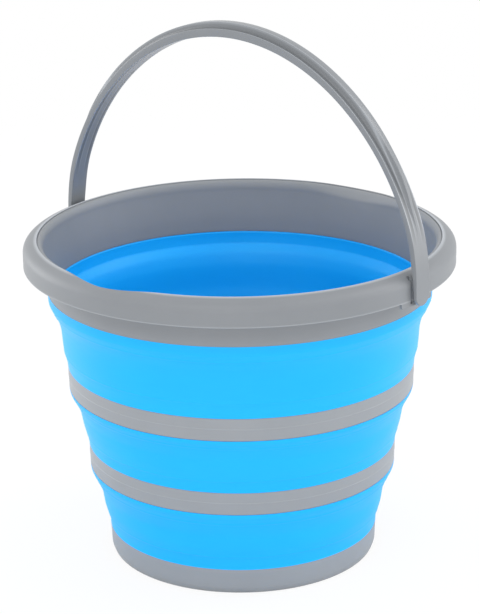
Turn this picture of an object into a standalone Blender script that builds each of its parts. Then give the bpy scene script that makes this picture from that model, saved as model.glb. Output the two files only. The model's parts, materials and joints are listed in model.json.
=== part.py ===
# Collapsible camp bucket: hard hoops joined by soft walls that fold, a skirted rim and a bail handle.
# It stands on Z = 0 with its axis on Z, the handle's pivot axis runs along X, and it pours at -Y and +Y.

import math

import bmesh
import bpy
from mathutils import Vector

mm = 0.001
turn_steps = 64
seam = 0.3

# Hard hoops: outer radius at the foot and head of each, and the heights between which they stand
shell = 3.0
base_foot_radius = 98.0
base_head_radius = 100.3
base_height = 19.0
floor_top = 6.0
floor_thickness = 3.0
foot_rail = 4.0
foot_edge = 1.6
lower_hoop_foot, lower_hoop_head = 67.9, 84.9
lower_hoop_radius = 114.2
upper_hoop_foot, upper_hoop_head = 129.6, 146.5
upper_hoop_radius = 128.0
hoop_edge = 0.5

# Soft walls: thickness, and each wall's outer outline as (height, radius) from foot to head
wall = 2.4
lower_wall_outline = [
    (21.0, 100.4), (27.3, 101.5), (35.7, 104.1), (42.0, 105.2), (49.0, 106.5),
    (58.8, 110.6), (63.0, 112.8), (65.3, 113.8),
]
middle_wall_outline = [
    (88.0, 115.0), (92.4, 115.9), (100.8, 118.3), (108.0, 119.7), (113.5, 120.9),
    (121.9, 124.5), (126.1, 127.0), (128.0, 127.6),
]
upper_wall_outline = [
    (151.3, 129.0), (157.6, 130.5), (163.0, 131.3), (175.0, 132.3), (182.0, 133.8),
    (187.0, 135.7), (195.4, 140.1), (198.0, 140.9),
]

# Collar: the band under the rim and the wall of the mouth, which flares to a rounded lip
band_radius = 141.0
band_foot = 204.0
mouth_foot_radius, mouth_foot = 138.0, 201.4
mouth_outline = [(213.0, 139.3), (222.0, 140.8), (229.5, 142.1)]
flare_foot_radius, flare_foot = 142.9, 234.6
lip_radius, lip_top = 147.1, 241.7
collar_outline = [(219.0, 141.0), (224.0, 142.6), (230.0, 144.9), (235.5, 146.6), (238.5, 147.1), (241.2, 147.4)]
flare_steps = 5

# Rim: an open-bottomed ring whose inner edge is its ridge, with an outer skirt and a short flange round the collar
rim_radius = 158.0
rim_wall = 2.2
skirt_foot = 223.1
shoulder = 233.5
ridge_radius = 148.3
ridge_height = 242.5
cap_fall = math.radians(21)
cap_reach, shoulder_reach = 5.6, 5.0
flange_foot = 233.0
mouth_seam = 0.5
cap_steps = 6

# Pouring spouts: how far the lip and the ridge move out and down there, and the heights between which they begin to
spout_half_angle = math.radians(18)
spout_reach, reach_from, reach_full = 3.6, 234.5, 242.5
spout_drop, drop_from, drop_full = 1.8, 227.0, 235.5

# Pivot lugs, where the skirt reaches lower, each with a boss behind it and a slot on each side of the boss
# that lets it give when the stud is snapped in
pivot_height = 226.5
lug_foot = 218.9
lug_half_angle = math.radians(6.5)
boss_radius = 5.4
boss_start = 151.0
bore_radius = 3.6
slot_near, slot_far = 5.5, 8.5
slot_inside = 153.6
slot_foot = 221.0
stud_radius = 3.5
stud_head_radius = 4.7
stud_head = 1.3

# Handle: the outward face of its flange follows a flat-sided arch whose legs draw in towards their feet,
# with a rib along its outer side
arch_half_width = 164.9
foot_inset = 2.6
inset_end = math.radians(21)
arch_height = 167.5
arch_squareness = 1.11
handle_width = 15.8
foot_thickness = 2.7
leg_thickness, leg_full = 4.1, math.radians(11)
grip_thickness = 6.0
rib_height = 4.2
rib_half_width = 3.1
rib_cove = 2.2
rib_start, rib_full = math.radians(16), math.radians(34)
spread_start, spread_full = math.radians(24), math.radians(50)
grip_start, grip_full = math.radians(30), math.radians(88)
arch_steps = 48
foot_rows = 5


def clear_scene():
    for old in list(bpy.data.objects):
        bpy.data.objects.remove(old, do_unlink=True)


def collection(name):
    made = bpy.data.collections.new(name)
    bpy.context.scene.collection.children.link(made)
    return made


def material(name, colour, roughness):
    made = bpy.data.materials.new(name)
    made.use_nodes = True
    shader = made.node_tree.nodes["Principled BSDF"]
    shader.inputs["Base Color"].default_value = (*colour, 1)
    shader.inputs["Roughness"].default_value = roughness
    shader.inputs["Metallic"].default_value = 0
    return made


def add_object(name, mesh, finish, group):
    made = bpy.data.objects.new(name, mesh)
    group.objects.link(made)
    if finish:
        mesh.materials.append(finish)
    return made


def turned(name, outline, finish, group, closed=True):
    """A ring or dish turned about Z from an outline of (radius, height), which runs down its outer side."""
    mesh = bpy.data.meshes.new(name)
    points = [(radius * mm, 0, height * mm) for radius, height in outline]
    edges = [(i, i + 1) for i in range(len(points) - 1)]
    if closed:
        edges.append((len(points) - 1, 0))
    mesh.from_pydata(points, edges, [])
    made = add_object(name, mesh, finish, group)
    screw = made.modifiers.new("Turn", "SCREW")
    screw.steps = screw.render_steps = turn_steps
    screw.use_merge_vertices = True
    screw.merge_threshold = 0.00001
    screw.use_smooth_shade = True
    return made


def make_base(finish, group):
    inner = base_head_radius - shell
    underside = floor_top - floor_thickness
    outline = [
        (0, floor_top),
        (inner - 4.5, floor_top),
        (inner - 1.6, floor_top + 1.3),
        (inner - 0.6, floor_top + 4.0),
        (inner, base_height),
        (base_head_radius, base_height),
        (base_head_radius - 0.2, 12.0),
        (base_foot_radius + foot_edge, 4.0),
        (base_foot_radius + foot_edge * 0.75, foot_edge * 0.55),
        (base_foot_radius, 0),
        (base_foot_radius - foot_rail, 0),
        (base_foot_radius - foot_rail - 1.2, underside),
        (0, underside),
    ]
    return turned("base", outline, finish, group, closed=False)


def make_hoop(name, radius, foot, head, finish, group):
    outer_foot, outer_head = radius - 0.2, radius + 0.3
    outline = [
        (outer_head - hoop_edge, head),
        (outer_head, head - hoop_edge),
        (outer_foot, foot + hoop_edge),
        (outer_foot - hoop_edge, foot),
        (outer_foot - shell, foot),
        (outer_head - shell, head),
    ]
    return turned(name, outline, finish, group)


def make_wall(name, foot, foot_radius, head, head_radius, shape, finish, group, head_drop=0.0):
    """A soft wall of even thickness, from the hoop below it to the hoop above it."""
    outer = [(foot_radius, foot)] + [(radius, height) for height, radius in shape] + [(head_radius, head)]
    inner = []
    for i, (radius, height) in enumerate(outer):
        before, after = outer[max(i - 1, 0)], outer[min(i + 1, len(outer) - 1)]
        along = Vector((after[0] - before[0], after[1] - before[1])).normalized()
        inner.append((radius - wall * along.y, height + wall * along.x))
    inner[0] = (foot_radius - wall, foot)
    inner[-1] = (head_radius - wall, head - head_drop)
    return turned(name, outer[::-1] + inner, finish, group)


def quarter(start, end, steps):
    """Points on a quarter of an ellipse, from straight above its centre to straight beside it."""
    reach, rise = end[0] - start[0], start[1] - end[1]
    angles = [math.pi / 2 * i / steps for i in range(steps + 1)]
    return [(start[0] + reach * math.sin(angle), end[1] + rise * math.cos(angle)) for angle in angles]


def rolled_over(start, end, steps):
    """Points of the rim's top, which falls away from its ridge and turns down into the skirt."""
    corners = [
        Vector(start), Vector(start) + Vector((math.cos(cap_fall), -math.sin(cap_fall))) * cap_reach,
        Vector(end) + Vector((0, shoulder_reach)), Vector(end),
    ]
    points = []
    for i in range(steps + 1):
        share = i / steps
        weights = [(1 - share) ** 3, 3 * share * (1 - share) ** 2, 3 * share ** 2 * (1 - share), share ** 3]
        points.append(tuple(sum((corner * weight for corner, weight in zip(corners, weights)), Vector((0, 0)))))
    return points


def pressed_spouts(place):
    """Where a point of the mouth lies once the two pouring spouts are pressed into it."""
    radius, height = math.hypot(place.x, place.y) / mm, place.z / mm
    off_centre = math.acos(min(abs(place.y) / mm / radius, 1.0)) / spout_half_angle
    if off_centre >= 1:
        return place
    depth = math.cos(off_centre * math.pi / 2) ** 2 * min((rim_radius - radius) / (rim_radius - ridge_radius), 1.0)
    outward = spout_reach * depth * ease(height, reach_from, reach_full)
    down = spout_drop * depth * ease(height, drop_from, drop_full)
    return Vector((place.x * (1 + outward / radius), place.y * (1 + outward / radius), place.z - down * mm))


def spun_mouth(name, outline, finish, group):
    """A ring of the mouth, spun about Z from an outline of (radius, height), with the spouts pressed into it."""
    form = bmesh.new()
    verts = [form.verts.new((radius * mm, 0, height * mm)) for radius, height in outline]
    edges = [form.edges.new(pair) for pair in zip(verts, verts[1:] + verts[:1])]
    bmesh.ops.spin(
        form, geom=verts + edges, axis=(0, 0, 1), cent=(0, 0, 0), angle=2 * math.pi, steps=turn_steps,
        use_merge=True,
    )
    for vert in form.verts:
        vert.co = pressed_spouts(vert.co)
    bmesh.ops.recalc_face_normals(form, faces=form.faces)
    for face in form.faces:
        face.smooth = True
    mesh = bpy.data.meshes.new(name)
    form.to_mesh(mesh)
    form.free()
    return add_object(name, mesh, finish, group)


def make_collar(finish, group):
    outline = [(radius, height) for height, radius in collar_outline[::-1]]
    outline += [(band_radius, band_foot), (mouth_foot_radius, mouth_foot)]
    outline += [(radius, height) for height, radius in mouth_outline]
    outline += quarter((lip_radius, lip_top), (flare_foot_radius, flare_foot), flare_steps)[::-1]
    return spun_mouth("collar", outline, finish, group)


def make_rim(finish, group, cutters):
    inside = rim_radius - rim_wall
    cap = rolled_over((ridge_radius, ridge_height), (rim_radius, shoulder), cap_steps)
    under = rolled_over(
        (ridge_radius + rim_wall * 0.8, ridge_height - rim_wall * 1.2), (inside, shoulder - rim_wall * 0.8),
        cap_steps - 2,
    )
    (low, low_radius), (high, high_radius) = collar_outline[2:4]
    foot_radius = low_radius + (high_radius - low_radius) * (flange_foot - low) / (high - low) + mouth_seam
    flange = [(foot_radius + rim_wall * 0.9, flange_foot), (foot_radius, flange_foot)]
    flange += [(radius + mouth_seam, height) for height, radius in collar_outline[3:]]
    outline = cap + [(rim_radius, lug_foot), (inside, lug_foot)] + under[::-1] + flange
    rim = spun_mouth("rim", outline, finish, group)
    for side in (1, -1):
        start = 0 if side == 1 else math.pi
        trim = arc_cutter(f"skirt_trim_{side}", start + lug_half_angle, start + math.pi - lug_half_angle, cutters)
        cut(rim, trim, "DIFFERENCE")
        boss = rod(f"boss_{side}", boss_radius, side * boss_start, side * (rim_radius - 1.0), cutters)
        cut(rim, boss, "UNION")
        bore = rod(f"bore_{side}", bore_radius, side * (boss_start - 4), side * (rim_radius + 4), cutters)
        cut(rim, bore, "DIFFERENCE")
        for end in (1, -1):
            slot = block(
                f"slot_{side}_{end}", (side * slot_inside, end * slot_near, slot_foot),
                (side * (rim_radius + 4), end * slot_far, ridge_height + 2), cutters,
            )
            cut(rim, slot, "DIFFERENCE")
    return rim


def arc_cutter(name, start, end, group):
    """A sector of a ring that trims the skirt between the lugs."""
    inside, outside = rim_radius - 8, rim_radius + 5
    bottom, top = lug_foot - 6, skirt_foot
    form = bmesh.new()
    corners = [(inside, bottom), (outside, bottom), (outside, top), (inside, top)]
    ring = [
        form.verts.new((r * mm * math.cos(start), r * mm * math.sin(start), z * mm)) for r, z in corners
    ]
    face = form.faces.new(ring)
    bmesh.ops.spin(
        form, geom=[face], axis=(0, 0, 1), cent=(0, 0, 0), angle=end - start, steps=turn_steps // 2 - 5
    )
    return helper(name, form, group)


def rod(name, radius, start, end, group):
    """A round helper along X at the height of the pivots."""
    form = bmesh.new()
    bmesh.ops.create_cone(
        form, cap_ends=True, segments=32, radius1=radius * mm, radius2=radius * mm, depth=abs(end - start) * mm
    )
    for vert in form.verts:
        x, y, z = vert.co
        vert.co = (z + (start + end) / 2 * mm, y, -x + pivot_height * mm)
    return helper(name, form, group)


def block(name, corner, opposite, group):
    """A box helper between two corners."""
    form = bmesh.new()
    bmesh.ops.create_cube(form, size=1)
    corner, opposite = Vector(corner) * mm, Vector(opposite) * mm
    bmesh.ops.scale(form, vec=[abs(side) for side in opposite - corner], verts=form.verts)
    bmesh.ops.translate(form, vec=(corner + opposite) / 2, verts=form.verts)
    return helper(name, form, group)


def helper(name, form, group):
    bmesh.ops.recalc_face_normals(form, faces=form.faces)
    mesh = bpy.data.meshes.new(name)
    form.to_mesh(mesh)
    form.free()
    made = add_object(name, mesh, None, group)
    made.hide_render = True
    made.display_type = "WIRE"
    return made


def cut(target, other, operation):
    step = target.modifiers.new(other.name, "BOOLEAN")
    step.operation = operation
    step.object = other
    step.solver = "EXACT"


def ease(value, low, high):
    share = min(max((value - low) / (high - low), 0.0), 1.0)
    return share * share * (3 - 2 * share)


def arch_point(angle):
    """The outward face of the handle's flange, from the pivot at +X over the top to the other."""
    drawn_in = foot_inset * (1 - ease(min(angle, math.pi - angle), 0, inset_end))
    side = abs(math.sin(angle)) ** arch_squareness
    return Vector(((arch_half_width - drawn_in) * math.cos(angle), 0, arch_height * side))


def handle_sections():
    """Rows from one foot to the other, as (point, outward, half width, thickness, rib, how far the rib spreads)."""
    rows = []
    half = handle_width / 2
    for i in range(foot_rows):
        angle = math.radians(82) * (1 - i / foot_rows)
        below = Vector((arch_half_width - foot_inset, 0, -half * math.sin(angle)))
        rows.append((below, Vector((1, 0, 0)), half * math.cos(angle), foot_thickness, 0.0, 0.5))
    for i in range(arch_steps + 1):
        angle = math.pi * i / arch_steps
        if i in (0, arch_steps):
            outward = Vector((math.cos(angle), 0, 0))
        else:
            along = arch_point(angle + 0.001) - arch_point(angle - 0.001)
            outward = Vector((along.z, 0, -along.x)).normalized()
        from_foot = min(angle, math.pi - angle)
        thickness = foot_thickness + (leg_thickness - foot_thickness) * ease(from_foot, 0, leg_full)
        thickness += (grip_thickness - leg_thickness) * ease(from_foot, grip_start, grip_full)
        rib = rib_height * ease(from_foot, rib_start, rib_full)
        spread = 0.5 + 0.5 * ease(from_foot, spread_start, spread_full)
        rows.append((arch_point(angle), outward, half, thickness, rib, spread))
    for point, outward, *section in rows[foot_rows - 1 :: -1]:
        rows.append((Vector((-point.x, 0, point.z)), -outward, *section))
    return rows


def section_outline(half, thickness, rib, spread):
    """(across, outward) points round the handle's section, with coved flanks beside the rib."""
    narrow = half / (handle_width / 2)
    top = rib_half_width * spread * narrow
    cove = (top + rib_cove * narrow, rib * 0.3)
    right = [(half, -thickness), (half, 0), (cove[0] + 1.2 * narrow, rib * 0.08), cove, (top + 0.5 * narrow, rib)]
    return right + [(-across, out) for across, out in right[::-1]]


def make_handle(finish, group, cutters):
    form = bmesh.new()
    rings = []
    for point, outward, *section in handle_sections():
        ring = []
        for across, out in section_outline(*section):
            place = point + outward * out
            ring.append(form.verts.new((place.x * mm, across * mm, place.z * mm)))
        rings.append(ring)
    for ring, following in zip(rings, rings[1:]):
        for i in range(len(ring)):
            j = (i + 1) % len(ring)
            form.faces.new((ring[i], ring[j], following[j], following[i]))
    form.faces.new(rings[0][::-1])
    form.faces.new(rings[-1])
    bmesh.ops.recalc_face_normals(form, faces=form.faces)
    mesh = bpy.data.meshes.new("handle")
    form.to_mesh(mesh)
    form.free()
    handle = add_object("handle", mesh, finish, group)
    handle.location = (0, 0, pivot_height * mm)
    stud_root = arch_half_width - foot_inset - foot_thickness / 2
    for side in (1, -1):
        stud = rod(f"stud_{side}", stud_radius, side * (boss_start - 1.0), side * stud_root, cutters)
        cut(handle, stud, "UNION")
        head_end = boss_start - 0.5
        head = rod(f"stud_head_{side}", stud_head_radius, side * (head_end - stud_head), side * head_end, cutters)
        cut(handle, head, "UNION")
    return handle


def main():
    clear_scene()
    bucket = collection("collapsible_camp_bucket")
    cutters = collection("cutters")
    grey = material("grey_plastic", (0.31, 0.33, 0.35), 0.42)
    blue = material("blue_rubber", (0.03, 0.53, 0.98), 0.5)
    make_base(grey, bucket)
    make_hoop("lower_hoop", lower_hoop_radius, lower_hoop_foot, lower_hoop_head, grey, bucket)
    make_hoop("upper_hoop", upper_hoop_radius, upper_hoop_foot, upper_hoop_head, grey, bucket)
    make_wall(
        "lower_wall", base_height + seam, base_head_radius, lower_hoop_foot - seam, lower_hoop_radius - 0.3,
        lower_wall_outline, blue, bucket,
    )
    make_wall(
        "middle_wall", lower_hoop_head + seam, lower_hoop_radius + 0.2, upper_hoop_foot - seam,
        upper_hoop_radius - 0.3, middle_wall_outline, blue, bucket,
    )
    make_wall(
        "upper_wall", upper_hoop_head + seam, upper_hoop_radius + 0.2, band_foot - seam, band_radius,
        upper_wall_outline, blue, bucket, head_drop=(band_foot - mouth_foot) * wall / shell,
    )
    make_collar(grey, bucket)
    make_rim(grey, bucket, cutters)
    make_handle(grey, bucket, cutters)


main()
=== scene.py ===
import json
import math

import bmesh
import bpy
from mathutils import Matrix, Vector


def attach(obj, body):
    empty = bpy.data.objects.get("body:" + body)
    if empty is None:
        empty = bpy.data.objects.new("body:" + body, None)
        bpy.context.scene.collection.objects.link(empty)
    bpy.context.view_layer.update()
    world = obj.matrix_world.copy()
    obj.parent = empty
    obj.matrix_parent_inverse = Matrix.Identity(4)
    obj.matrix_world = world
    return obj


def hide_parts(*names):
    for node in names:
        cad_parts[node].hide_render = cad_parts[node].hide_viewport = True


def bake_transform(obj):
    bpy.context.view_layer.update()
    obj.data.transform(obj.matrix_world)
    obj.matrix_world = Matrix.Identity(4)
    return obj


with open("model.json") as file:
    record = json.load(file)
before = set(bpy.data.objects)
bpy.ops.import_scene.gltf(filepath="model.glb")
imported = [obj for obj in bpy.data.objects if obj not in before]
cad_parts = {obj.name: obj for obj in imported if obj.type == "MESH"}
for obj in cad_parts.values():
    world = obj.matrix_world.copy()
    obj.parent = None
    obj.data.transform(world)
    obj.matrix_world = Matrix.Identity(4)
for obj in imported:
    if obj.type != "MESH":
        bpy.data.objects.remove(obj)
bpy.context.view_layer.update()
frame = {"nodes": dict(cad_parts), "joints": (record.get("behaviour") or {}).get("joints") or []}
print("frame loaded:", ", ".join(sorted(frame["nodes"])))

# Measures are in millimetres and angles in degrees, unless a note says otherwise
mm = 0.001
turnSteps = 192  # in a full turn
mergeWithin, cutWithin = 0.00001, 0.000001  # metres
usualSharp = 38  # an edge is sharp where its faces turn by more
white = (1, 1, 1, 1)
swing = next(joint for joint in frame["joints"] if joint["name"] == "handle_swing")
pivotHeight = swing["pos_m"][2] / mm

# Camera, where the photograph was taken from
camera = {
    "place": (1043.6, -1298.4, 746.8),  # from the middle of the base
    "turn": 38.8,  # round from the front
    "down": 18.63,
    "roll": -0.8,
    "lens": 139.76,
    "sensor": 36,
    "sees": (0.05, 30),  # metres
}


def makeCamera():
    data = bpy.data.cameras.new("photoCamera")
    data.sensor_width = camera["sensor"]
    data.lens = camera["lens"]
    data.clip_start, data.clip_end = camera["sees"]
    turn = Matrix.Rotation(math.radians(camera["turn"]), 4, "Z")
    down = Matrix.Rotation(math.radians(90 - camera["down"]), 4, "X")
    roll = Matrix.Rotation(math.radians(camera["roll"]), 4, "Z")
    made = bpy.data.objects.new("photoCamera", data)
    made.matrix_world = Matrix.Translation(Vector(camera["place"]) * mm) @ turn @ down @ roll
    bpy.context.scene.collection.objects.link(made)
    bpy.context.scene.camera = made


makeCamera()
print("camera placed")


# A number on a node sheet: sums on it add Math nodes
class Number:
    def __init__(self, sheet, socket):
        self.sheet, self.socket = sheet, socket

    def sum(self, operation, first, second=None, clamp=False):
        settings = {"operation": operation, "use_clamp": clamp}
        sides = {0: first} if second is None else {0: first, 1: second}
        return self.sheet.node("ShaderNodeMath", settings, sides)

    def __add__(self, other): return self.sum("ADD", self, other)
    def __radd__(self, other): return self.sum("ADD", other, self)
    def __sub__(self, other): return self.sum("SUBTRACT", self, other)
    def __rsub__(self, other): return self.sum("SUBTRACT", other, self)
    def __mul__(self, other): return self.sum("MULTIPLY", self, other)
    def __rmul__(self, other): return self.sum("MULTIPLY", other, self)
    def __truediv__(self, other): return self.sum("DIVIDE", self, other)
    def __rtruediv__(self, other): return self.sum("DIVIDE", other, self)

    def clamped(self): return self.sum("ADD", self, 0.0, clamp=True)
    def size(self): return self.sum("ABSOLUTE", self)


# The nodes of a material or of the world, and the shader that they come with
class Sheet:
    def __init__(self, owner, shader="Principled BSDF"):
        owner.use_nodes = True
        self.owner = owner
        self.nodes, self.links = owner.node_tree.nodes, owner.node_tree.links
        self.shader = self.nodes[shader]

    # any node: its type, its settings, what goes into its sockets, and which output is wanted
    def node(self, kind, settings, sockets, output=0):
        made = self.nodes.new(kind)
        for key, value in settings.items():
            setattr(made, key, value)
        for key, value in sockets.items():
            self.feed(made.inputs[key], value)
        return Number(self, made.outputs[output])

    def feed(self, socket, value):
        if isinstance(value, Number):
            self.links.new(value.socket, socket)
        else:
            socket.default_value = value

    def place(self, stretch=(1, 1, 1)):
        spot = self.node("ShaderNodeTexCoord", {}, {}, "Object")
        return self.node("ShaderNodeMapping", {}, {"Vector": spot, "Scale": stretch})

    def along(self, axis):
        return self.node("ShaderNodeSeparateXYZ", {}, {"Vector": self.place()}, axis)

    def noise(self, scale, detail, roughness, stretch=(1, 1, 1)):
        sockets = {
            "Vector": self.place(stretch), "Scale": scale, "Detail": detail, "Roughness": roughness}
        return self.node("ShaderNodeTexNoise", {}, sockets)

    def blendColour(self, share, first, second):
        sockets = {0: share, 6: first, 7: second}
        return self.node("ShaderNodeMix", {"data_type": "RGBA"}, sockets, 2)

    def blendShader(self, share, first, second):
        return self.node("ShaderNodeMixShader", {}, {0: share, 1: first, 2: second})

    def ray(self, kind):
        return self.node("ShaderNodeLightPath", {}, {}, kind)

    def bump(self, height, strength, distance, under=None):
        sockets = {"Height": height, "Strength": strength, "Distance": distance}
        if under:
            sockets["Normal"] = under
        return self.node("ShaderNodeBump", {}, sockets)


# Plastics: each noise is (scale, detail, roughness, stretch), and each bump (strength, metres).
# The coarse and the fine noise move the colour towards the paler one, and the roughness up and down
noiseMiddle = 0.5
greyLook = {
    "colour": (0.248, 0.264, 0.284),
    "paler": (0.276, 0.292, 0.312),
    "reflection": 0.5,
    "coarse": (26.0, 4, 0.6),  # patches a few centimetres across
    "coarseFrom": 0.35, "coarseShare": 1.2, "coarseRoughness": 0.12,
    "fine": (665.0, 2, 0.7),
    "fineShare": 0.25, "fineRoughness": 0.08,
    "grain": (1900.0, 2, 0.6),
    "grainBump": (0.35, 0.00004),
    "edge": 2.3,  # how much paler a painted highlight makes a thin line along an edge or ridge
    "cove": 0.62,  # how much darker a painted shade makes the channel beside the handle's rib
    "marksFade": 15.0,  # the height over which the marks begin
}
blueLook = {
    "colour": (0.003, 0.415, 0.97),
    "paler": (0.006, 0.46, 0.985),
    "reflection": 0.26,
    "coarse": (18.0, 3, 0.5, (1, 1, 2.4)),
    "coarseFrom": 0.4, "coarseShare": 0.9, "coarseRoughness": 0.15,
    "fine": (60.0, 3, 0.55, (1, 1, 3.5)),
    "fineShare": 0.4, "fineRoughness": 0.08,
    "fineBump": (0.25, 0.0004),
    "grain": (1500.0, 2, 0.6),
    "grainBump": (0.3, 0.00004),
}

# Each grey moulding gets its own tone, which is painted shade and light: darker towards the top, so
# the handle is the darkest and the hoops are the palest.
# A mark is (edge or cove, axis, how far along it, reach, strength), and runs above marksFrom: an
# edge mark is a painted highlight, a cove mark is painted shade
greyPaintedLightAndRoughness = {
    "hoopPlastic": {
        "tone": 1.04, "roughness": 0.42,
        # painted highlights along each hoop's parting ridge
        "marks": [("edge", 2, 138.6, 0.45, 0.12), ("edge", 2, 77.0, 0.45, 0.12)],
    },
    "collarPlastic": {"tone": 0.91, "roughness": 0.5},
    "rimPlastic": {
        "tone": 0.82, "roughness": 0.46,
        # painted highlights along the ridge and along the skirt's lower edge
        "marks": [("edge", 2, 242.7, 1.1, 1.0), ("edge", 2, 223.4, 0.9, 0.35)],
    },
    "handlePlastic": {
        "tone": 0.81, "roughness": 0.32, "marksFrom": 262,
        # painted highlights along the flange's outer edges and the rib's edge, painted shade in the
        # channel between them
        "marks": [
            ("edge", 1, 7.4, 0.5, 1.0), ("cove", 1, 4.7, 2.0, 1.0), ("edge", 1, 2.95, 0.4, 0.6)],
    },
}


def toned(colour, tone):
    return (*(part * tone for part in colour[:3]), 1)


def makePlastic(name, look, paintedLightAndRoughness):
    sheet = Sheet(bpy.data.materials.new(name))
    coarse, fine = sheet.noise(*look["coarse"]), sheet.noise(*look["fine"])
    share = (coarse - look["coarseFrom"]) * look["coarseShare"]
    share = (share + (fine - noiseMiddle) * look["fineShare"]).clamped()
    colour, paler = (toned(look[key], paintedLightAndRoughness["tone"]) for key in ("colour", "paler"))
    shade = sheet.blendColour(share, colour, paler)
    # Each mark paints a band across one axis: paler for a painted highlight (edge), darker for
    # painted shade (cove)
    for kind, axis, middle, reach, strength in paintedLightAndRoughness.get("marks", []):
        above = sheet.along(2) - paintedLightAndRoughness.get("marksFrom", 0) * mm
        near = (1 - (sheet.along(axis).size() - middle * mm).size() / (reach * mm)).clamped()
        near = near * (above / (look["marksFade"] * mm)).clamped() * strength
        shade = sheet.blendColour(near, shade, toned(colour, look[kind]))
    roughness = paintedLightAndRoughness["roughness"] + (coarse - noiseMiddle) * look["coarseRoughness"]
    roughness = roughness + (fine - noiseMiddle) * look["fineRoughness"]
    waves = sheet.bump(fine, *look["fineBump"]) if "fineBump" in look else None
    grain = sheet.bump(sheet.noise(*look["grain"]), *look["grainBump"], waves)
    sheet.feed(sheet.shader.inputs["Base Color"], shade)
    sheet.feed(sheet.shader.inputs["Specular IOR Level"], look["reflection"])
    sheet.feed(sheet.shader.inputs["Roughness"], roughness)
    sheet.feed(sheet.shader.inputs["Normal"], grain)
    return sheet.owner


hoopPlastic, collarPlastic, rimPlastic, handlePlastic = (
    makePlastic(name, greyLook, paintedLightAndRoughness) for name, paintedLightAndRoughness in greyPaintedLightAndRoughness.items())
blueRubber = makePlastic("blueRubber", blueLook, {"tone": 1.0, "roughness": 0.44})
print("materials made")


# Corners of (across, up, rounding) become a line with each corner rounded
def rounded(corners, steps=5):
    line = []
    for i, (across, up, rounding) in enumerate(corners):
        here = Vector((across, up))
        if not rounding:
            line.append(here)
            continue
        before = (Vector(corners[i - 1][:2]) - here).normalized()
        after = (Vector(corners[(i + 1) % len(corners)][:2]) - here).normalized()
        half = before.angle(after) / 2
        centre = here + (before + after).normalized() * rounding / math.sin(half)
        first = here + before * rounding / math.tan(half) - centre
        last = here + after * rounding / math.tan(half) - centre
        for k in range(steps + 1):
            line.append(centre + first.lerp(last, k / steps).normalized() * rounding)
    return line


# A smooth line through points, with so many steps between each two
def flowing(points, steps=5):
    line = []
    spots = [Vector(point) for point in points]
    spots = [spots[0] * 2 - spots[1], *spots, spots[-1] * 2 - spots[-2]]
    for a, b, c, d in zip(spots, spots[1:], spots[2:], spots[3:]):
        straight, bent, curled = c - a, 2 * a - 5 * b + 4 * c - d, 3 * b - a - 3 * c + d
        for t in [k / steps for k in range(steps)]:
            line.append((2 * b + straight * t + bent * t ** 2 + curled * t ** 3) / 2)
    return [*line, spots[-2]]


def quarterTurn(steps):
    return [math.pi / 2 * k / steps for k in range(steps + 1)]


def spinLine(bm, line, closed=True):
    verts = [bm.verts.new((across * mm, 0, up * mm)) for across, up in line]
    edges = [bm.edges.new(pair) for pair in zip(verts, verts[1:] + (verts[:1] if closed else []))]
    bmesh.ops.spin(
        bm, geom=verts + edges, cent=(0, 0, 0), axis=(0, 0, 1), angle=2 * math.pi,
        steps=turnSteps, use_merge=True)


def finishPiece(bm, name, material, body=None, node=None, sharp=usualSharp):
    bmesh.ops.remove_doubles(bm, verts=bm.verts[:], dist=mergeWithin)
    bmesh.ops.recalc_face_normals(bm, faces=bm.faces[:])
    mesh = bpy.data.meshes.new(name)
    for face in bm.faces:
        face.smooth = True
    bm.to_mesh(mesh)
    bm.free()
    mesh.set_sharp_from_angle(angle=math.radians(sharp))
    mesh.materials.append(material)
    piece = bpy.data.objects.new(name, mesh)
    bpy.context.scene.collection.objects.link(piece)
    if body:
        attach(piece, body)
    if node:
        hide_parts(node)
    return piece


# Foot ring and floor in one moulding, whose floor has a shallow step, and a pip where the
# mould was filled
base = {
    "footRadius": 98.0, "headRadius": 100.3, "height": 19.15, "wall": 3.0,
    "waist": (0.4, 12.0), "ankle": (1.6, 4.0),  # in from the head or out from the foot, height
    "floor": 6.0, "floorInset": 2.2, "underside": 3.0, "rail": 4.0, "railSlope": 1.0,
    "step": 0.5, "stepRadius": 76.0, "stepSlope": 1.2,
    "pip": 0.1, "pipRadius": 4.0, "pipSlope": 0.8,
}


def makeBase():
    foot, head, height = base["footRadius"], base["headRadius"], base["height"]
    floor, underside, pip, step = (base[key] for key in ("floor", "underside", "pip", "step"))
    inner, rail = head - base["wall"], foot - base["rail"]
    line = rounded([
        (0, floor + pip, 0),
        (base["pipRadius"], floor + pip, 0.3),
        (base["pipRadius"] + base["pipSlope"], floor - step, 0.6),
        (base["stepRadius"], floor - step, 1.5),
        (base["stepRadius"] + base["stepSlope"], floor, 1.5),
        (inner - base["floorInset"], floor, 3.5),
        (inner, height, 0.3),
        (head, height, 0.3),
        (head - base["waist"][0], base["waist"][1], 12),
        (foot + base["ankle"][0], base["ankle"][1], 4),
        (foot, 0, 1.2),
        (rail, 0, 0.8),
        (rail - base["railSlope"], underside, 0.8),
        (0, underside, 0),
    ])
    bm = bmesh.new()
    spinLine(bm, line, closed=False)
    finishPiece(bm, "baseMoulding", hoopPlastic, "base", "base")


makeBase()
print("base made")

# Hard hoops: radius at mid height, and the height of the fine parting line round each, whose
# corners are (how far out of that radius, how far up, rounding)
hoops = {
    "wall": 3.0, "edge": 0.45, "footIn": 0.2, "headOut": 0.3,
    "line": [(0.06, 0.45, 0.2), (0.2, 0.15, 0.1), (0.2, -0.1, 0.1), (-0.02, -0.25, 0.1)],
    "sizes": {
        "lower_hoop": {"foot": 67.9, "head": 84.9, "parting": 76.8, "radius": 114.2},
        "upper_hoop": {"foot": 129.6, "head": 146.5, "parting": 138.4, "radius": 128.0},
    },
}


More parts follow.
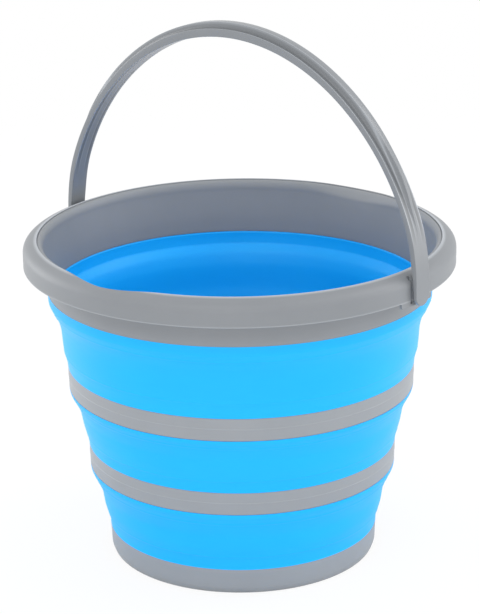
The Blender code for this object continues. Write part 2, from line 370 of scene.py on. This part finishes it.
def makeHoop(node, size):
    foot, head, parting, radius = (size[key] for key in ("foot", "head", "parting", "radius"))
    wall, edge = hoops["wall"], hoops["edge"]
    line = rounded([
        (radius + hoops["headOut"], head, edge),
        *((radius + out, parting + up, rounding) for out, up, rounding in hoops["line"]),
        (radius - hoops["footIn"], foot, edge),
        (radius - hoops["footIn"] - wall, foot, edge),
        (radius + hoops["headOut"] - wall, head, edge),
    ], steps=3)
    bm = bmesh.new()
    spinLine(bm, line)
    finishPiece(bm, node.replace("_h", "H"), hoopPlastic, node, node)


for node, size in hoops["sizes"].items():
    makeHoop(node, size)
print("hoops made")

# Soft walls: outer outline as (radius, height), the fine creases round each as (height, how
# far out, reach), and the heights between which each one folds. The inner face follows the
# outer one, apart from the upper wall's, which has an outline of its own
walls = {
    "lower_wall": {
        "bodies": ("base", "lower_hoop"),
        "outline": [
            (100.3, 19.15), (100.3, 21.5), (101.5, 27.3), (104.1, 35.7), (105.2, 42.0),
            (106.5, 49.0), (110.6, 58.8), (112.8, 63.0), (113.8, 65.4), (114.0, 67.8),
        ],
        "creases": [(30.0, 0.22, 1.3), (58.7, 0.22, 1.3)],
        "thickness": 2.4, "fold": (30, 67.6),
    },
    "middle_wall": {
        "bodies": ("lower_hoop", "upper_hoop"),
        "outline": [
            (114.5, 85.0), (115.0, 88.0), (115.9, 92.4), (118.3, 100.8), (119.7, 108.0),
            (120.9, 113.5), (124.5, 121.9), (126.9, 125.9), (127.6, 127.9), (127.8, 129.5),
        ],
        "creases": [(94.5, 0.22, 1.3), (122.5, 0.22, 1.3)],
        "thickness": 2.4, "fold": (94, 129.3),
    },
    "upper_wall": {
        "bodies": ("upper_hoop", "rim"),
        "outline": [
            (128.3, 146.6), (128.9, 151.3), (130.5, 157.6), (131.3, 163.0), (132.3, 175.0),
            (133.8, 182.0), (135.7, 187.0), (140.1, 195.4), (140.9, 198.2), (141.0, 203.9),
        ],
        "creases": [(158.5, 0.22, 1.3), (191.5, 0.25, 1.4)],
        "inside": [
            (126.3, 151.3), (127.9, 157.6), (128.7, 163.0), (129.7, 175.0), (130.9, 181.0),
            (132.5, 186.0), (134.7, 189.4), (136.9, 192.2), (137.4, 194.2), (137.8, 198.0),
        ],
        "thickness": 2.4, "fold": (158, 203.7), "innerHead": 201.3, "innerHeadInset": 0.7,
    },
}
creaseSteps = 4  # on either side of its middle
wallSharp = 60


# A line that climbs, with a fine ridge round it at each crease
def creased(line, creases):
    heights = {point.y for point in line}
    for middle, _, reach in creases:
        heights |= {middle + reach * k / creaseSteps for k in range(-creaseSteps, creaseSteps + 1)}
    made = []
    for height in sorted(heights):
        below = max((point for point in line if point.y <= height), key=lambda point: point.y)
        above = min((point for point in line if point.y >= height), key=lambda point: point.y)
        share = (height - below.y) / (above.y - below.y) if above.y > below.y else 0
        point = below.lerp(above, share)
        for middle, out, reach in creases:
            if abs(height - middle) < reach:
                point.x += out * (1 + math.cos(math.pi * (height - middle) / reach)) / 2
        made.append(point)
    return made


def makeWall(node, size):
    outer = creased(flowing(size["outline"]), size["creases"])
    foot = Vector((outer[0].x - size["thickness"], outer[0].y))
    head = Vector((outer[-1].x - size["thickness"], size.get("innerHead", outer[-1].y)))
    if "inside" in size:
        inset = Vector((size["innerHeadInset"], 0))
        inner = flowing([foot, *size["inside"], head - inset], steps=4)
    else:
        inner = []
        for i, point in enumerate(outer):
            along = outer[min(i + 1, len(outer) - 1)] - outer[max(i - 1, 0)]
            along = along.normalized()
            inner.append(point + Vector((-along.y, along.x)) * size["thickness"])
        inner[0], inner[-1] = foot, head
    bm = bmesh.new()
    spinLine(bm, outer + inner[::-1])
    piece = finishPiece(
        bm, node.replace("_w", "W"), blueRubber, None, node, wallSharp)
    low, high = size["fold"]
    low * mm
    high * mm
    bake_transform(piece)


for node, size in walls.items():
    makeWall(node, size)
print("walls made")

# Pouring spouts, pressed into the mouth at -Y and +Y: the mouth reaches out and drops there,
# from the height where each of these begins to the height where it is full
spout = {
    "halfAngle": 18,
    "reach": 3.6, "reachFrom": 234.5, "reachFull": 242.5,
    "drop": 1.8, "dropFrom": 227.0, "dropFull": 235.5,
}


def ease(value, low, high):
    share = min(max((value - low) / (high - low), 0), 1)
    return share * share * (3 - 2 * share)


def pressSpouts(bm):
    halfAngle = math.radians(spout["halfAngle"])
    for vert in bm.verts:
        radius, height = math.hypot(vert.co.x, vert.co.y) / mm, vert.co.z / mm
        offCentre = math.acos(min(abs(vert.co.y) / mm / radius, 1)) / halfAngle
        if offCentre >= 1:
            continue
        depth = math.cos(offCentre * math.pi / 2) ** 2
        depth *= min((rim["radius"] - radius) / (rim["radius"] - rim["ridgeRadius"]), 1)
        outward = spout["reach"] * depth * ease(height, spout["reachFrom"], spout["reachFull"])
        vert.co.x *= 1 + outward / radius
        vert.co.y *= 1 + outward / radius
        vert.co.z -= spout["drop"] * depth * ease(height, spout["dropFrom"], spout["dropFull"]) * mm


# Collar: the band under the rim and the wall of the mouth, which flares to a rounded lip.
# Points are (radius, height)
collar = {
    "bandHead": (141.0, 212.0), "bandFoot": (141.0, 204.0),
    "mouthFoot": (138.0, 201.4), "mouthStart": (138.4, 205.0),
    "mouth": [(139.3, 213.0), (140.8, 222.0), (142.1, 229.5)],
    "flareFoot": (142.9, 234.6), "lip": (147.1, 241.7), "lipInside": (146.8, 241.2),
    "outside": [
        (141.0, 219.0), (142.6, 224.0), (144.9, 230.0), (146.6, 235.5), (147.1, 238.5),
        (147.4, 241.3),
    ],
}
# Rim: the ring whose top rolls over into the skirt, with a flange that lies against the collar
# and a lug at each pivot. A lug's end is (angle from the pivot, share of its full drop)
rim = {
    "radius": 158.0, "wall": 2.2,
    "ridgeRadius": 148.3, "ridge": 242.5, "fall": 21, "capReach": 5.6, "shoulderReach": 5.0,
    "shoulder": 233.5, "skirtHead": 229.0, "skirtFoot": 223.1,
    "bead": {"depth": 0.12, "top": 1.9, "bend": 1.5, "foot": 1.1},
    "under": (0.8, 1.2),  # how far out and down the underside starts, in thicknesses of the wall
    "flangeFoot": 233.0, "flangeWidth": 0.9, "flangeRise": 0.8, "seam": 0.22, "ridgeLip": 0.05,
    "lugFoot": 218.9, "lugEnd": [(6.56, 0.0), (6.44, 0.78), (6.25, 0.94), (5.9, 1.0)],
    "lugHead": 2.2, "lugInset": 1,  # how far up and inwards the skirt drops with its edge
    "bossRadius": 5.4, "bossFrom": 151.0, "bossInset": 1.0,  # short of the skirt's face
    "boreRadius": 3.6, "boreSegments": 48,
    "slot": {"near": 5.5, "far": 8.5, "inside": 153.6, "foot": 221.0},
    "cutPast": 4, "cutAbove": 2,  # how far a cutting tool runs past the rim
}


# A quarter of an ellipse, from straight above its centre to straight beside it
def quarter(start, end, steps):
    across, up = end[0] - start[0], start[1] - end[1]
    return [Vector((start[0] + across * math.sin(angle), end[1] + up * math.cos(angle)))
            for angle in quarterTurn(steps)]


# The rim's top: it falls away from its ridge and turns down into the skirt
def rolledOver(start, end, steps):
    fall = math.radians(rim["fall"])
    a, d = Vector(start), Vector(end)
    b = a + Vector((math.cos(fall), -math.sin(fall))) * rim["capReach"]
    c = d + Vector((0, rim["shoulderReach"]))
    return [
        a * (1 - t) ** 3 + b * 3 * t * (1 - t) ** 2 + c * 3 * t ** 2 * (1 - t) + d * t ** 3
        for t in [k / steps for k in range(steps + 1)]]


def makeCollar():
    foot = rounded([
        (*collar["bandHead"], 0), (*collar["bandFoot"], 0.35), (*collar["mouthFoot"], 0.4),
        (*collar["mouthStart"], 0)], steps=3)
    lip = rounded([
        (*collar["outside"][-2], 0), (*collar["outside"][-1], 0.15), (*collar["lip"], 0.15),
        (*collar["lipInside"], 0)], steps=3)
    inside = flowing([foot[-1], *collar["mouth"], collar["flareFoot"]], steps=4)
    flare = quarter(collar["lip"], collar["flareFoot"], steps=12)
    outside = flowing(collar["outside"][:-1], steps=4)
    bm = bmesh.new()
    spinLine(bm, [*outside, *lip[1:-1], *flare[1:], *inside[::-1][1:], *foot[::-1][1:]])
    pressSpouts(bm)
    finishPiece(bm, "mouthCollar", collarPlastic, "rim", "collar")


makeCollar()
print("collar made")


# A round bar along X between two distances from the middle, at the height of the pivots
def addBar(bm, radius, start, end, segments=40):
    turn = Matrix.Rotation(math.pi / 2, 4, "Y")
    place = Matrix.Translation(Vector(((start + end) / 2, 0, pivotHeight)) * mm)
    bmesh.ops.create_cone(
        bm, cap_ends=True, segments=segments, radius1=radius * mm, radius2=radius * mm,
        depth=abs(end - start) * mm, matrix=place @ turn)


# A box between two corners
def addBlock(bm, corner, opposite):
    corner, opposite = Vector(corner) * mm, Vector(opposite) * mm
    size = Matrix.Diagonal([*(abs(side) for side in opposite - corner), 1])
    place = Matrix.Translation((corner + opposite) / 2)
    bmesh.ops.create_cube(bm, size=1, matrix=place @ size)


# Joins a tool's form to a piece, or cuts it out
def reshape(piece, operation, addTool, *measures):
    bm = bmesh.new()
    addTool(bm, *measures)
    mesh = bpy.data.meshes.new("tool")
    bm.to_mesh(mesh)
    bm.free()
    tool = bpy.data.objects.new("tool", mesh)
    bpy.context.scene.collection.objects.link(tool)
    step = piece.modifiers.new("tool", "BOOLEAN")
    step.operation, step.object, step.solver = operation, tool, "EXACT"
    view = bpy.context.evaluated_depsgraph_get()
    shaped = bpy.data.meshes.new_from_object(piece.evaluated_get(view), depsgraph=view)
    piece.modifiers.remove(step)
    piece.data = shaped
    bpy.data.objects.remove(tool)


# The rim's whole outline, from the ridge over the top, down the skirt, back along the
# underside and up the face that lies against the collar
def rimOutline():
    radius, wall, foot, seam = (rim[key] for key in ("radius", "wall", "skirtFoot", "seam"))
    bead, (underOut, underDown) = rim["bead"], rim["under"]
    cap = rolledOver((rim["ridgeRadius"], rim["ridge"]), (radius, rim["shoulder"]), steps=16)
    skirt = rounded([
        (radius, rim["skirtHead"], 0),
        (radius - bead["depth"], foot + bead["top"], 0),
        (radius - bead["depth"], foot + bead["bend"], 0),
        (radius, foot + bead["foot"], 0),
        (radius, foot, 0.4),
        (radius - wall, foot, 0.5),
        (radius - wall, rim["skirtHead"], 0),
    ], steps=4)
    under = rolledOver(
        (rim["ridgeRadius"] + wall * underOut, rim["ridge"] - wall * underDown),
        (radius - wall, rim["shoulder"] - wall * underOut), steps=8)
    outside = [Vector(point) for point in collar["outside"]]
    low, high = outside[2:4]
    share = (rim["flangeFoot"] - low.y) / (high.y - low.y)
    flangeFoot = low.lerp(high, share) + Vector((seam, 0))
    flangeEdge = flangeFoot.x + wall * rim["flangeWidth"]
    flange = rounded([
        (flangeEdge, flangeFoot.y + rim["flangeRise"], 0), (flangeEdge, flangeFoot.y, 0.4),
        (*flangeFoot, 0.4), (outside[3].x + seam, outside[3].y, 0)], steps=3)
    face = [point + Vector((seam, 0)) for point in outside[3:]]
    ridge = rounded([
        (*face[-1], 0), (face[-1].x + rim["ridgeLip"], rim["ridge"], 0.3), (*cap[1], 0)], steps=4)
    return [*ridge, *cap[2:], *skirt, *under[::-1], *flange[:-1], *face[:-1]]


# Each lug: the skirt is cut where the lug ends, and its lower edge drops between the cuts
def dropLugs(bm):
    for angle, _ in rim["lugEnd"]:
        for side in (1, -1):
            across = math.radians(side * angle)
            bmesh.ops.bisect_plane(
                bm, geom=bm.verts[:] + bm.edges[:] + bm.faces[:], plane_co=(0, 0, 0),
                plane_no=(-math.sin(across), math.cos(across), 0), dist=cutWithin)
    ends = rim["lugEnd"][::-1]
    inner = rim["radius"] - rim["wall"] - rim["lugInset"]
    head = rim["skirtFoot"] + rim["lugHead"]
    for vert in bm.verts:
        angle = math.degrees(math.atan2(abs(vert.co.y), abs(vert.co.x)))
        if math.hypot(vert.co.x, vert.co.y) < inner * mm or vert.co.z > head * mm:
            continue
        share = 1.0
        for (near, full), (far, less) in zip(ends, ends[1:]):
            if angle > near:
                share = full + (less - full) * min((angle - near) / (far - near), 1)
        vert.co.z -= (rim["skirtFoot"] - rim["lugFoot"]) * share * mm


def makeRim():
    bm = bmesh.new()
    spinLine(bm, rimOutline())
    bmesh.ops.remove_doubles(bm, verts=bm.verts[:], dist=mergeWithin)
    pressSpouts(bm)
    dropLugs(bm)
    piece = finishPiece(bm, "rimRing", rimPlastic, "rim", "rim")
    slot, past, segments = rim["slot"], rim["radius"] + rim["cutPast"], rim["boreSegments"]
    bossEnd, boreFrom = rim["radius"] - rim["bossInset"], rim["bossFrom"] - rim["cutPast"]
    for side in (1, -1):
        boss = (rim["bossRadius"], side * rim["bossFrom"], side * bossEnd, segments)
        bore = (rim["boreRadius"], side * boreFrom, side * past, segments)
        reshape(piece, "UNION", addBar, *boss)
        reshape(piece, "DIFFERENCE", addBar, *bore)
        for end in (1, -1):
            corner = (side * slot["inside"], end * slot["near"], slot["foot"])
            opposite = (side * past, end * slot["far"], rim["ridge"] + rim["cutAbove"])
            reshape(piece, "DIFFERENCE", addBlock, corner, opposite)
    piece.data.set_sharp_from_angle(angle=math.radians(usualSharp))


makeRim()
print("rim made")

# Handle: a flat-sided arch with a rib along its outer side, whose legs draw in to a round-ended
# foot on each pivot. A pair of angles round the arch says where something grows from its least
# to its full size, and spreadLeft, openLeft and coveLeft are the shares left at the foot
handle = {
    "halfWidth": 164.9, "footInset": 2.6, "insetEnd": 21, "height": 167.5, "squareness": 1.11,
    "width": 15.8, "innerEdge": 0.5, "outerEdge": 0.35,
    "footThickness": 2.7, "legThickness": 4.1, "gripThickness": 6.0,
    "legFull": 11, "thickens": (30, 88),
    "ribHeight": 4.2, "ribLeast": 0.002, "ribGrows": (16, 34),
    "ribWidth": 6.4, "ribSpreads": (24, 50), "spreadLeft": 0.5,
    "ribOpens": (17, 26), "openLeft": 0.2, "coveWidth": 2.2, "coveLeft": 0.4,
    "channel": 0.3, "channelBank": [(0.5, 0.6), (1.1, 1.0)],  # in from the edge, share of depth
    "stations": 120, "footSteps": 20, "aimStep": 0.05, "sharp": 50,
    "stud": {
        "radius": 3.5, "headRadius": 4.7, "head": 1.3, "end": 149.2,
        "neck": 0.8,  # how far into its head it starts
        "root": 1.5,  # how far under the foot's outer face it ends
    },
}


# Half of the handle's section, from the middle of its inner face round to the middle of its
# outer face
def handleHalfSection(degrees):
    fromFoot = min(degrees, 180 - degrees)

    def grown(key): return ease(fromFoot, *handle[key])
    def widened(key, left): return handle[left] + (1 - handle[left]) * grown(key)

    foot, leg, grip = (handle[key] for key in ("footThickness", "legThickness", "gripThickness"))
    thick = foot + (leg - foot) * ease(fromFoot, 0, handle["legFull"])
    thick += (grip - leg) * grown("thickens")
    ribGrown = grown("ribGrows")
    rib = max(handle["ribHeight"] * ribGrown, handle["ribLeast"])
    half, inner, outer = handle["width"] / 2, handle["innerEdge"], handle["outerEdge"]
    top = handle["ribWidth"] / 2 * widened("ribSpreads", "spreadLeft")
    top *= widened("ribOpens", "openLeft")
    cove = handle["coveWidth"] * widened("ribGrows", "coveLeft")
    dip, crest = handle["channel"] * ribGrown, rib - outer * ribGrown
    line = [(0, -thick), (half / 2, -thick)]
    line += [(half - inner + inner * math.sin(a), -thick + inner - inner * math.cos(a))
             for a in quarterTurn(4)]
    line += [(half - outer + outer * math.cos(a), -outer + outer * math.sin(a))
             for a in quarterTurn(4)]
    line += [(half - outer - inward, -dip * share) for inward, share in handle["channelBank"]]
    line += [(top + cove * (1 - math.sin(a)), -dip + (crest + dip) * (1 - math.cos(a)))
             for a in quarterTurn(6)]
    line += [(top - outer * (1 - math.cos(a)), rib - outer * ribGrown * (1 - math.sin(a)))
             for a in quarterTurn(3)[1:]]
    return [Vector(point) for point in (*line, (0, rib))]


# The middle of the flange's outer face at an angle round the arch, and the way it faces
def handlePlace(degrees):
    def point(angle):
        drawnIn = handle["footInset"] * (1 - ease(min(angle, 180 - angle), 0, handle["insetEnd"]))
        angle = math.radians(angle)
        return Vector((
            (handle["halfWidth"] - drawnIn) * math.cos(angle), 0,
            handle["height"] * abs(math.sin(angle)) ** handle["squareness"]))

    if degrees in (0, 180):
        return point(degrees), Vector((1 - degrees / 90, 0, 0))
    along = point(degrees + handle["aimStep"]) - point(degrees - handle["aimStep"])
    return point(degrees), Vector((along.z, 0, -along.x)).normalized()


def makeHandle():
    bm = bmesh.new()
    corner = bm.verts.layers.int.new("corner")
    up = Vector((0, 0, pivotHeight))
    stations, stud = handle["stations"], handle["stud"]

    def settle(verts, degrees):  # puts each vertex of a ring where the section says
        half = handleHalfSection(degrees)
        whole = half + [Vector((-across, out)) for across, out in half[-2:0:-1]]
        middle, outward = handlePlace(degrees)
        for vert in verts:
            across, out = whole[vert[corner]]
            vert.co = (middle + outward * out + Vector((0, across, 0)) + up) * mm

    count = 2 * len(handleHalfSection(0)) - 2
    verts = [bm.verts.new((0, 0, 0)) for _ in range(count)]
    for i, vert in enumerate(verts):
        vert[corner] = i
    edges = [bm.edges.new(pair) for pair in zip(verts, verts[1:] + verts[:1])]
    settle(verts, 0)
    for k in range(1, stations + 1):
        made = bmesh.ops.extrude_edge_only(bm, edges=edges)["geom"]
        edges = [item for item in made if isinstance(item, bmesh.types.BMEdge)]
        verts = [item for item in made if isinstance(item, bmesh.types.BMVert)]
        settle(verts, 180 * k / stations)
    for side in (1, -1):  # the round end of each foot is half a turn of the section
        middle, outward = handlePlace(0 if side == 1 else 180)
        line = [bm.verts.new((middle + outward * out + Vector((0, across, 0)) + up) * mm)
                for across, out in handleHalfSection(0)]
        joined = [bm.edges.new(pair) for pair in zip(line, line[1:])]
        bmesh.ops.spin(
            bm, geom=line + joined, cent=(0, 0, pivotHeight * mm), axis=(1, 0, 0),
            angle=-math.pi, steps=handle["footSteps"])
        neck, root = stud["end"] + stud["neck"], middle.length - stud["root"]
        addBar(bm, stud["radius"], side * neck, side * root)
        addBar(bm, stud["headRadius"], side * stud["end"], side * (stud["end"] + stud["head"]))
    finishPiece(
        bm, "bailHandle", handlePlastic, "handle", "handle", handle["sharp"])


makeHandle()
print("handle made")

# Studio: a pale floor that fades into a white room, with soft lamps round it. All in metres
studio = {
    "floorRadius": 1.6, "floorSegments": 96,
    "floorColour": (0.92, 0.92, 0.92, 1), "floorRoughness": 0.9,
    "fadeFrom": 0.45, "fadeOver": 0.9,
    "floorLift": 0.86,  # how much of the floor's own white the camera sees
    "room": 1.03,
    "aim": (0, 0, 0.18),
    "lamps": [
        {"place": (1.7, 1.5, 0.6), "size": 1.5, "power": 12},
        {"place": (-2.2, -0.4, 0.6), "size": 1.5, "power": 18},
        {"place": (1.2, -2.1, 0.4), "size": 1.7, "power": 8},
        {"place": (1.0, 1.3, 1.8), "size": 0.9, "power": 9},
        {"place": (0.5, -1.5, 2.0), "size": 1.3, "power": 8},
    ],
}


def makeFloor():
    sheet = Sheet(bpy.data.materials.new("studioFloor"))
    distance = sheet.node(
        "ShaderNodeVectorMath", {"operation": "LENGTH"}, {0: sheet.place()}, "Value")
    fade = ((distance - studio["fadeFrom"]) / studio["fadeOver"]).clamped()
    sheet.feed(sheet.shader.inputs["Base Color"], studio["floorColour"])
    sheet.feed(sheet.shader.inputs["Roughness"], studio["floorRoughness"])
    seen = sheet.ray("Is Camera Ray") * studio["floorLift"]
    glow = sheet.node("ShaderNodeEmission", {}, {"Color": white, "Strength": 1.0})
    lifted = sheet.blendShader(seen, Number(sheet, sheet.shader.outputs[0]), glow)
    clear = sheet.node("ShaderNodeBsdfTransparent", {}, {})
    shown = sheet.blendShader(fade, lifted, clear)
    sheet.feed(sheet.nodes["Material Output"].inputs["Surface"], shown)
    bm = bmesh.new()
    bmesh.ops.create_circle(
        bm, cap_ends=True, radius=studio["floorRadius"], segments=studio["floorSegments"])
    mesh = bpy.data.meshes.new("studioFloor")
    bm.to_mesh(mesh)
    bm.free()
    mesh.materials.append(sheet.owner)
    floor = bpy.data.objects.new("studioFloor", mesh)
    bpy.context.scene.collection.objects.link(floor)


def makeRoom():
    room = Sheet(bpy.data.worlds.new("whiteRoom"), "Background")
    bpy.context.scene.world = room.owner
    room.feed(room.shader.inputs["Color"], white)
    room.feed(room.shader.inputs["Strength"], studio["room"])
    plain = room.node("ShaderNodeBackground", {}, {"Color": white, "Strength": 1.0})
    seen = room.ray("Is Camera Ray")
    seen = seen.sum("ADD", seen, room.ray("Is Transmission Ray"), clamp=True)
    shown = room.blendShader(seen, Number(room, room.shader.outputs[0]), plain)
    room.feed(room.nodes["World Output"].inputs["Surface"], shown)


def makeLamps():
    for i, lamp in enumerate(studio["lamps"]):
        data = bpy.data.lights.new(f"softLamp{i}", "AREA")
        data.size, data.energy = lamp["size"], lamp["power"]
        made = bpy.data.objects.new(f"softLamp{i}", data)
        place = Vector(lamp["place"])
        turn = (Vector(studio["aim"]) - place).to_track_quat("-Z", "Y").to_matrix().to_4x4()
        made.matrix_world = Matrix.Translation(place) @ turn
        bpy.context.scene.collection.objects.link(made)


makeFloor()
makeRoom()
makeLamps()
bpy.context.scene.view_settings.view_transform = "Standard"
print("studio made")
